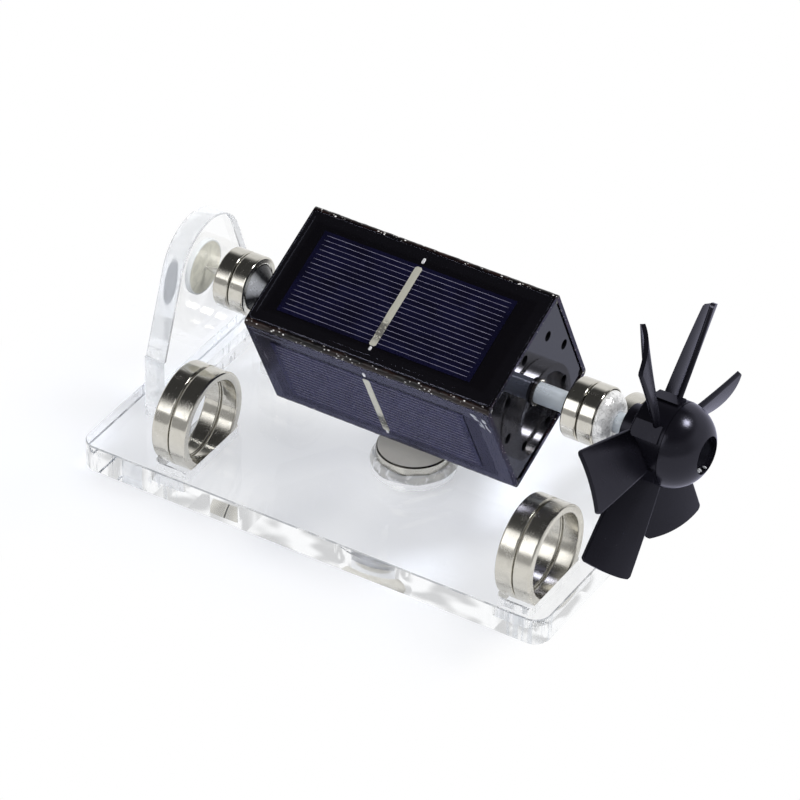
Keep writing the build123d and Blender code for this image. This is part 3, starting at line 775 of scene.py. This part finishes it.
class MOTOR_OT_studio(bpy.types.Operator):
    """Make the floor, the room, the two softboxes and the camera"""

    bl_idname = "motor.studio"
    bl_label = "Studio"

    def execute(self, context):
        settings = context.scene.motor_studio
        self.add_floor(settings)
        self.light_room(context, settings)
        front, rear = settings.front_box_power, settings.rear_box_power
        self.add_softbox("front_softbox", front, turn=-106, rise=37, distance=0.80, side=0.46)
        self.add_softbox("rear_softbox", rear, turn=34, rise=56, distance=0.90, side=0.20)
        self.add_camera(context, settings)
        context.scene.view_settings.view_transform = "Standard"
        return {"FINISHED"}

    def add_floor(self, settings):
        """A round floor just under the base: near it paper with a glow, far off plain white."""
        low = -0.15 * MM
        angles = [math.tau * step / 64 for step in range(64)]
        rings = [
            [(radius * math.cos(angle), radius * math.sin(angle), low) for angle in angles]
            for radius in (0.05, 0.2, 0.5, 1.2, settings.floor_radius)
        ]
        shape = bmesh.new()
        loops = skin(shape, rings, closed=False)
        shape.faces.new(loops[0])
        finish = Finish("floor")
        x, y, _ = finish.split(finish.place())
        beside_x = (abs(x) - BASE_HALF_LENGTH).larger(0)
        beside_y = (abs(y) - BASE_HALF_WIDTH).larger(0)
        far = (beside_x * beside_x + beside_y * beside_y) ** 0.5
        # Painted shade on the floor left of the wall; to the right, the floor turns plain white
        # sooner.
        wall_shade = x.rise(-58 * MM, -72 * MM) * y.rise(22 * MM, 0.0)
        far = far + x.rise(52 * MM, 72 * MM) * 34 * MM - wall_shade * 10 * MM
        far = far.rise(-14 * MM, 38 * MM)
        indirect = finish.rays()[3]
        paper = finish.chalky(settings.floor_colour)
        pale, white = (0.945, 0.955, 0.98), (1.0, 1.0, 1.0)
        light = finish.mix(far, finish.shining(pale), finish.shining(white))
        # Painted caustics: soft brighter and darker patches on the floor near the motor.
        mottle = (finish.grain(36, 1) - 0.5) * (1 - far) * 1.1
        # Painted shadow: the floor darker in an ellipse under the rotor.
        along = (x - BLOCK_CENTRE) / (44 * MM)
        across = (y + 7 * MM) / (26 * MM)
        under = (along * along + across * across).rise(1.3, 0.1)
        share = 0.70 + far * 0.30 + mottle - under * 0.15
        material = finish.done(finish.mix(share * (1 - indirect), paper, light))
        new_object("floor", shape, material)

    def light_room(self, context, settings):
        """White backdrop, with a dim ceiling that shows only in reflections and clear stuff."""
        world = bpy.data.worlds.new("room")
        context.scene.world = world
        world.use_nodes = True
        graph = Graph(world.node_tree)
        _, back, up = graph.split(graph.node("TexCoord", output="Generated"))
        ceiling = up.rise(0.44, 0.74)
        wall = 0.42 + back.rise(-0.3, 0.4) * 0.53
        mirrored = wall * (1 - ceiling) + ceiling * 0.045
        refracted = 0.97 - ceiling * 0.22
        camera, glossy, clear, indirect = graph.rays()
        level = camera + glossy * mirrored + clear * refracted + indirect * settings.room_level
        sky = graph.node("Background", sockets={"Color": (1, 1, 1, 1), "Strength": level})
        graph.node("OutputWorld", sockets={"Surface": sky})

    def add_softbox(self, name, power, turn, rise, distance, side):
        """A square lamp, aimed at the motor from a turn and a rise in degrees."""
        turn, rise = math.radians(turn), math.radians(rise)
        aim = Vector(
            (math.cos(turn) * math.cos(rise), math.sin(turn) * math.cos(rise), math.sin(rise))
        )
        lamp = bpy.data.lights.new(name, "AREA")
        lamp.shape = "RECTANGLE"
        lamp.size = lamp.size_y = side
        lamp.energy = power
        motor_middle = Vector((0, 0, 30 * MM))
        box = bpy.data.objects.new(name, lamp)
        box.location = motor_middle + aim * distance
        box.rotation_euler = aim.to_track_quat("Z", "Y").to_euler()
        box.visible_camera = box.visible_transmission = False
        bpy.context.scene.collection.objects.link(box)

    def add_camera(self, context, settings):
        """The photo's camera, from its turn, rise and roll about the place it looks at."""
        turn, rise, roll = settings.camera_turn, settings.camera_rise, settings.camera_roll
        back = Vector(
            (math.sin(turn) * math.cos(rise), -math.cos(turn) * math.cos(rise), math.sin(rise))
        )
        right = (-back).cross(Vector((0, 0, 1))).normalized()
        up = right.cross(-back)
        side = right * math.cos(roll) + up * math.sin(roll)
        top = up * math.cos(roll) - right * math.sin(roll)
        lens = bpy.data.cameras.new("camera")
        lens.sensor_width = 36
        lens.lens = settings.camera_lens
        lens.clip_start, lens.clip_end = 0.05, 50
        camera = bpy.data.objects.new("camera", lens)
        turned = Matrix((side, top, back)).transposed().to_4x4()
        spot = CAMERA_TARGET + back * settings.camera_distance
        camera.matrix_world = Matrix.Translation(spot) @ turned
        context.scene.collection.objects.link(camera)
        context.scene.camera = camera


class MOTOR_OT_acrylic(bpy.types.Operator):
    """Give the base plate and the end wall their clear acrylic"""

    bl_idname = "motor.acrylic"
    bl_label = "Base and end wall"

    def execute(self, context):
        settings = context.scene.motor_acrylic
        dress(base_acrylic(settings), "base_plate")
        dress(wall_acrylic(settings), "end_wall")
        return {"FINISHED"}


class MOTOR_OT_magnets(bpy.types.Operator):
    """Plate the ring magnets and the stack of disc magnets with nickel"""

    bl_idname = "motor.magnets"
    bl_label = "Magnets"

    def execute(self, context):
        settings = context.scene.motor_magnets
        rings = [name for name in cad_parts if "_ring_" in name]
        discs = [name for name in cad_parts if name.startswith("centre_magnet")]
        satin = [name for name in rings if "right_ring" in name]
        bright = [name for name in rings if name not in satin]
        dress(nickel(settings, "bright_nickel", 0), *bright)
        dress(nickel(settings, "satin_nickel", 0, satin=0.08), *satin)
        dress(nickel(settings, "disc_nickel", 2, satin=0.03, flat=1.0), *discs)
        finish = wet_glue(context.scene.motor_acrylic)
        add_piece("disc_glue", self.disc_glue(), finish, body="base")
        return {"FINISHED"}

    def disc_glue(self):
        """Clear glue that wells up round the stack of discs and over the pocket's rim."""
        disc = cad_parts["centre_magnet_3"]
        corners = [disc.matrix_world @ Vector(corner) for corner in disc.bound_box]
        middle = sum(corners, Vector()) / len(corners)
        profile = (  # millimetres out from just inside the disc and up from the base's top face
            (0.00, -2.00), (0.00, 1.75), (0.23, 1.95), (0.58, 1.85), (0.98, 1.62), (1.28, 1.25),
            (1.48, 0.70), (1.59, 0.15), (1.63, -0.03), (1.25, -0.10), (1.25, -2.00),
        )
        sunk = 0.03  # into the disc and the base, so that no gap shows
        steps = 96
        shape = bmesh.new()
        rings = []
        for step in range(steps + 1):
            angle = math.tau * (step % steps) / steps
            aim = Vector((math.cos(angle), math.sin(angle), 0))
            swell = 1 + 0.22 * wobble(*(aim * 11 * MM), size=5.0)
            ring = []
            for out, high in profile:
                if high >= -sunk:
                    out, high = out * swell, (high + sunk) * swell - sunk
                spot = middle + aim * (DISC_MAGNET_RADIUS + (out - sunk) * MM)
                ring.append((spot.x, spot.y, BASE_THICKNESS + high * MM))
            rings.append(ring)
        skin(shape, rings, closed=False)
        bmesh.ops.remove_doubles(shape, verts=shape.verts, dist=0.001 * MM)
        return shape


class MOTOR_OT_shaft(bpy.types.Operator):
    """Finish the tube, pin, bushes, glue and the disc that the pin runs on"""

    bl_idname = "motor.shaft"
    bl_label = "Shaft"

    def execute(self, context):
        settings = context.scene.motor_shaft
        dress(milky_tube(settings), "shaft_tube")
        dress(ground_steel(), "pivot_pin")
        dress(thrust_face(settings), "thrust_disc")
        silver = glue("silver_glue", (0.96, 0.96, 0.96), 0.16, metal=0.35, lump=1.0)
        dress(pewter_cone(), "left_bush", "pin_bush")
        dress(silver, "right_bush")
        dress(glue("nose_glue", (0.75, 0.77, 0.79), 0.14), "nose_glue")
        drop = glue("drop_glue", (0.40, 0.41, 0.43), 0.2)
        add_piece("nose_drops", self.nose_drops(), drop)
        return {"FINISHED"}

    def nose_drops(self):
        """Three drops of glue low in the spinner's socket."""
        shape = bmesh.new()
        for start, turn, size in ((90.5, -0.30, 0.60), (91.0, -0.75, 0.4), (90.9, 0.15, 0.36)):
            low = Vector((0, math.sin(turn), -math.cos(turn))) * 4.55 * MM
            along = [(start + 0.35 * step) * MM for step in range(5)]
            thread(shape, [Vector((x, low.y, SHAFT_HEIGHT + low.z)) for x in along], size * MM)
        return shape


class MOTOR_OT_panels(bpy.types.Operator):
    """Make the solar panels' printed lines, soldered ribbons and resin covers"""

    bl_idname = "motor.panels"
    bl_label = "Solar panels"

    def execute(self, context):
        settings = context.scene.motor_panels
        dress(board_black(settings), *(f"{name}_panel_board" for name in PANEL_NAMES))
        dress(cell_silicon(settings), *(f"{name}_panel_cell" for name in PANEL_NAMES))
        silver, tin, resin = printed_silver(settings), tinned_ribbon(settings), clear_resin()
        for side, name in enumerate(PANEL_NAMES):
            place = panel_place(side)
            plain_busbar, plain_cover = [f"{name}_panel_busbar"], [f"{name}_panel_resin"]
            lines = self.fingers(settings)
            add_piece(f"{name}_fingers", lines, silver, "rotor", place)
            strips = self.ribbon(settings, side)
            ribbon = add_piece(
                f"{name}_ribbon", strips, tin, "rotor", place, plain_busbar
            )
            ribbon.data.set_sharp_from_angle(angle=math.radians(35))
            cover = self.cover(settings, side)
            add_piece(f"{name}_resin_cover", cover, resin, "rotor", place, plain_cover)
        return {"FINISHED"}

    def fingers(self, settings):
        """Printed lines along the cell, each a low ridge with round ends."""
        shape = bmesh.new()
        steps = 48
        low, high = CELL_TOP - 0.02 * MM, CELL_TOP + 0.022 * MM
        pitch = (CELL_WIDTH - 2.2 * MM) / (settings.finger_count - 1)
        for number in range(settings.finger_count):
            middle = (number - (settings.finger_count - 1) / 2) * pitch
            rings = []
            for step in range(steps + 1):
                x = CELL_OFFSET + (step / steps - 0.5) * (CELL_LENGTH - 2.4 * MM)
                end = min(step, steps - step)
                half = settings.finger_width / 2 * (0.35 if end == 0 else 1.0)
                half *= 1 + 0.22 * wobble(x, middle, 1, size=2.3)
                ridge = ((-1, low), (-0.6, high), (0.6, high), (1, low))
                rings.append([(x, middle + half * out, up) for out, up in ridge])
            skin(shape, rings)
        return shape

    def ribbon(self, settings, side):
        """The soldered ribbon, with a solder dot in front and a loose tab behind it."""
        shape = bmesh.new()
        half = CELL_WIDTH / 2
        self.strip(shape, settings, side, (-half - 0.1 * MM, half - 0.5 * MM), 1.0, 0.12 * MM)
        self.strip(shape, settings, side, (half + 0.75 * MM, half + 2.35 * MM), 0.40, 0.10 * MM)
        self.strip(shape, settings, side, (-half - 1.5 * MM, -half - 0.35 * MM), 0.36, 0.16 * MM)
        return shape

    def strip(self, shape, settings, side, ends, share, height):
        """One wavy strip across the panel, a share of the ribbon's width wide."""
        start, end = ends
        rings = []
        steps = max(8, int((end - start) / (0.4 * MM)))
        # The full strip lies on the cell; the dot and the tab beside it lie on the board.
        base = CELL_TOP - 0.15 * MM if share < 1 else CELL_TOP - 0.02 * MM
        top = CELL_TOP + (height if share == 1 else height - 0.08 * MM)
        for step in range(steps + 1):
            y = start + (end - start) * step / steps
            along = min(step, steps - step) / steps
            swell = 1.0 if share == 1 and along > 0.01 else min(1.0, 0.55 + 3 * along)
            half = settings.ribbon_width / 2 * share * swell
            half *= 1 + 0.05 * wobble(y, side, 3, size=1.7)
            x = CELL_OFFSET + 0.05 * MM * wobble(y, side, 7, size=4)
            lift = top + 0.02 * MM * wobble(y, side, 11, size=1.3)
            edge = lift - 0.04 * MM
            right = ((0.86, lift), (1, edge), (1, base))
            section = [(-out, up) for out, up in reversed(right)] + list(right)
            rings.append([(x + half * out, y, up) for out, up in section])
        skin(shape, rings)

    def cover(self, settings, side):
        """Resin with a round, slightly wavy rim, sunk a little into the board."""
        shape = bmesh.new()
        rings = []
        length = BLOCK_LENGTH - 2 * settings.cover_inset
        width = PANEL_WIDTH - 2 * settings.cover_inset
        profile = (  # millimetres in from the rim and up from the board
            (0.00, -0.06), (0.00, 0.06), (0.05, 0.15), (0.16, 0.26), (0.36, 0.33), (0.65, 0.37),
            (1.00, 0.395), (1.30, 0.43), (1.55, 0.50), (1.85, 0.59), (2.15, 0.635), (2.50, 0.65),
            (3.20, 0.64), (4.40, 0.61), (6.5, 0.595), (11.0, 0.59),
        )
        for inset, height in profile:
            inset *= MM
            corner = max(1.2 * MM - inset, 0.5 * MM)
            ring = []
            for x, y in rounded_outline(length - 2 * inset, width - 2 * inset, corner, 5, 24):
                sag = 0.03 * wobble(x, y, side * 1.0, size=6) * min(1, max(0, height) * 2)
                ring.append((x, y, (height + sag) * MM))
            rings.append(ring)
        skin(shape, rings)
        return shape


class MOTOR_OT_block(bpy.types.Operator):
    """Finish the end plates and run the resin beads along the block's corners"""

    bl_idname = "motor.block"
    bl_label = "Block ends and corners"

    def execute(self, context):
        dress(plate_gloss(), "left_end_plate", "right_end_plate")
        drop = glue("dark_drop", (0.020, 0.018, 0.018), 0.06)
        dress(drop, "left_plate_collar", "right_plate_collar")
        resin = self.bead_finish()
        add_piece("corner_beads", self.beads(), resin, stands_for=["edge_beads"])
        string = glue("glue_string", (0.62, 0.64, 0.68), 0.18, metal=0.1)
        add_piece("glue_strings", self.strings(), string, place=panel_place(1))
        return {"FINISHED"}

    def bead_finish(self):
        """Brown-black resin with small bumps, and painted white glints on some of them."""
        finish = Finish("bead_resin")
        swell = finish.grain(1.3, 3, stretch=(0.5, 1, 1))
        fleck = finish.specks(0.75, 0.30, 0.16, stretch=(0.6, 1, 1))
        patch = finish.grain(4.0, 3, stretch=(0.5, 1, 1)).rise(0.42, 0.62)
        painted_glint_spread = finish.grain(2.6, 2).rise(0.42, 0.52) * finish.grain(0.7, 1).rise(0.36, 0.60)
        shade = finish.blend(patch, (0.003, 0.0025, 0.003), (0.012, 0.005, 0.004))
        # Painted glints: white specks strewn over the resin.
        shade = finish.blend(fleck * painted_glint_spread, shade, (0.95, 0.94, 0.92))
        bumped = finish.bump(swell + fleck * 0.4, 0.22, 0.6)
        return finish.solid(shade, 0.10 + swell * 0.16, bumped, IOR=1.5, Specular_IOR_Level=0.28)

    def strings(self):
        """Thin strings and drops of hot glue on the front panel's upper right corner."""
        shape = bmesh.new()
        runs = (  # start along and across, run along and across, and radius in millimetres
            (30.8, 16.2, 1.9, -1.1, 0.26), (31.6, 14.6, 1.5, -0.9, 0.20),
            (33.2, 13.9, 0.7, -3.6, 0.15), (33.9, 15.4, 1.3, -1.8, 0.30),
            (34.6, 13.0, 0.5, -2.6, 0.17), (35.0, 11.2, 0.4, -1.6, 0.13),
            (32.6, 12.2, 0.8, -1.0, 0.14),
        )
        for x, y, along, across, radius in runs:
            spine = []
            for step in range(9):
                share = step / 8
                sway = 0.35 * wobble(x * MM, (y + across * share) * MM, 5, size=1.1)
                spot = (x + along * share + sway, y + across * share, 0.60 + sway * 0.2)
                spine.append(Vector(spot) * MM)
            thread(shape, spine, radius * MM)
        return shape

    def beads(self):
        """A wavy bead of resin along each of the block's four corners."""
        shape = bmesh.new()
        for corner in range(4):
            lean = PANEL_LEAN + corner * math.pi / 2
            across = Vector((0, math.cos(lean), math.sin(lean)))
            out = Vector((0, -math.sin(lean), math.cos(lean)))
            middle = Vector((0, 0, SHAFT_HEIGHT)) + PANEL_INNER * (out - across)
            rings = []
            steps = 180
            for step in range(steps + 1):
                x = BLOCK_CENTRE + (step / steps - 0.5) * (BLOCK_LENGTH - 0.02 * MM)
                ring = []
                for turn in range(20):
                    angle = math.tau * turn / 20
                    fine = 0.07 * wobble(x, corner * 9.0 + angle, 2, size=1.4)
                    broad = 0.05 * wobble(x, corner * 5.0, 4, size=5)
                    radius = 1.22 * MM * (1 + fine + broad)
                    spot = middle + radius * (math.cos(angle) * out + math.sin(angle) * across)
                    ring.append((x, spot.y, spot.z))
                rings.append(ring)
            skin(shape, rings)
        return shape


class MOTOR_OT_windings(bpy.types.Operator):
    """Finish the former, the two windings and the leads inside the block"""

    bl_idname = "motor.windings"
    bl_label = "Windings"

    def execute(self, context):
        settings = context.scene.motor_windings
        dress(plain_plastic("former_card", (0.38, 0.33, 0.24), 0.5), "coil_former")
        dress(enamelled_wire(settings, "outer_winding", 1), "outer_coil")
        dress(enamelled_wire(settings, "inner_winding", 2), "inner_coil")
        dress(plain_plastic("lead_sleeve", (0.45, 0.02, 0.015), 0.35), "panel_leads")
        return {"FINISHED"}


class MOTOR_OT_fan(bpy.types.Operator):
    """Finish the fan and its spinner in black moulded plastic"""

    bl_idname = "motor.fan"
    bl_label = "Fan"

    def execute(self, context):
        settings = context.scene.motor_fan
        dress(moulded_plastic(settings, "fan_plastic", 0.42), "fan_rotor")
        dress(moulded_plastic(settings, "spinner_plastic", 0.75, -0.06), "spinner")
        return {"FINISHED"}


class MOTOR_PT_panel(bpy.types.Panel):
    """Lists the motor's operators in the sidebar"""

    bl_idname = "MOTOR_PT_panel"
    bl_label = "Solar Motor"
    bl_space_type = "VIEW_3D"
    bl_region_type = "UI"
    bl_category = "Solar Motor"

    def draw(self, context):
        for operator in OPERATORS:
            self.layout.operator(operator.bl_idname)


OPERATORS = (
    MOTOR_OT_studio,
    MOTOR_OT_acrylic,
    MOTOR_OT_magnets,
    MOTOR_OT_shaft,
    MOTOR_OT_panels,
    MOTOR_OT_block,
    MOTOR_OT_windings,
    MOTOR_OT_fan,
)
CLASSES = (*SETTINGS.values(), *OPERATORS, MOTOR_PT_panel)


def register():
    for made in CLASSES:
        bpy.utils.register_class(made)
    for name, group in SETTINGS.items():
        setattr(bpy.types.Scene, name, PointerProperty(type=group))


def unregister():
    for name in SETTINGS:
        delattr(bpy.types.Scene, name)
    for made in reversed(CLASSES):
        bpy.utils.unregister_class(made)


def main():
    register()
    bpy.ops.motor.studio()
    bpy.ops.motor.acrylic()
    bpy.ops.motor.magnets()
    bpy.ops.motor.shaft()
    bpy.ops.motor.panels()
    bpy.ops.motor.block()
    bpy.ops.motor.windings()
    bpy.ops.motor.fan()


if __name__ == "__main__":
    main()
